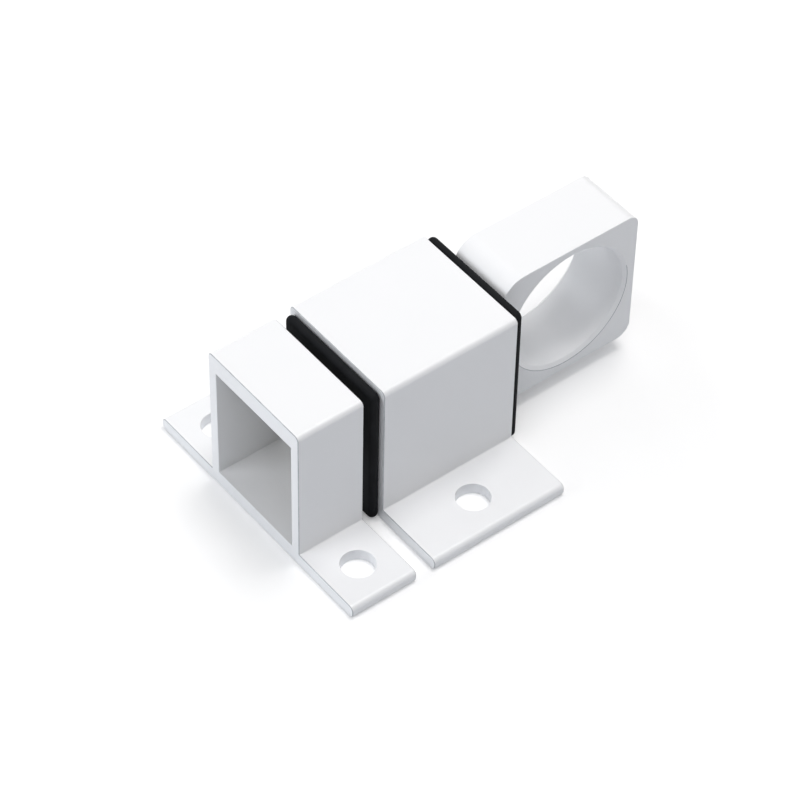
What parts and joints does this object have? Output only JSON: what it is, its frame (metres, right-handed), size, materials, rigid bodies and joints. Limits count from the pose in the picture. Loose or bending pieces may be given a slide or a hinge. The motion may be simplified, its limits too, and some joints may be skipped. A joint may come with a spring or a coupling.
{
  "type": "self-closing latch",
  "caption": "Sprung sliding latch: a square flanged tube holds a ramped bolt that a finger ring draws back, with a matching flanged tube as keeper.",
  "frame": {"origin": "middle of the housing's footprint on the mounting plane, between its two fixing holes", "axes": "+X along the bolt's travel from the keeper towards the finger ring, +Z away from the mounting plane, +Y to the left seen from the keeper's end looking along +X"},
  "size_m": [0.0628, 0.0442, 0.0264],
  "materials": {
    "white_coat": "white powder coat on extruded aluminium, semi-gloss",
    "rubber": "moulded black rubber, matt",
    "guide_plastic": "machined black nylon",
    "bolt_steel": "ground stainless steel",
    "plated_steel": "bright zinc plate",
    "spring_steel": "drawn spring wire"
  },
  "bodies": {
    "frame": {"keeper": "white_coat", "housing": "white_coat", "front_pad": "rubber", "rear_pad": "rubber", "front_guide": "guide_plastic", "rear_guide": "guide_plastic", "front_guide_screw_left": "plated_steel", "front_guide_screw_right": "plated_steel", "rear_guide_screw_left": "plated_steel", "rear_guide_screw_right": "plated_steel", "spring_seat": "plated_steel", "return_spring": "spring_steel"},
    "bolt_slide": {"bolt": "bolt_steel", "draw_rod": "bolt_steel", "lock_pin": "plated_steel", "finger_ring": "white_coat", "ring_screw": "plated_steel"}
  },
  "joints": [
    {"name": "bolt_travel", "type": "slide", "parent": "frame", "child": "bolt_slide", "axis": [1, 0, 0], "range_m": [0, 0.01], "stiffness_N_per_m": 600, "springref_m": -0.005, "deforming": ["return_spring"]}
  ]
}
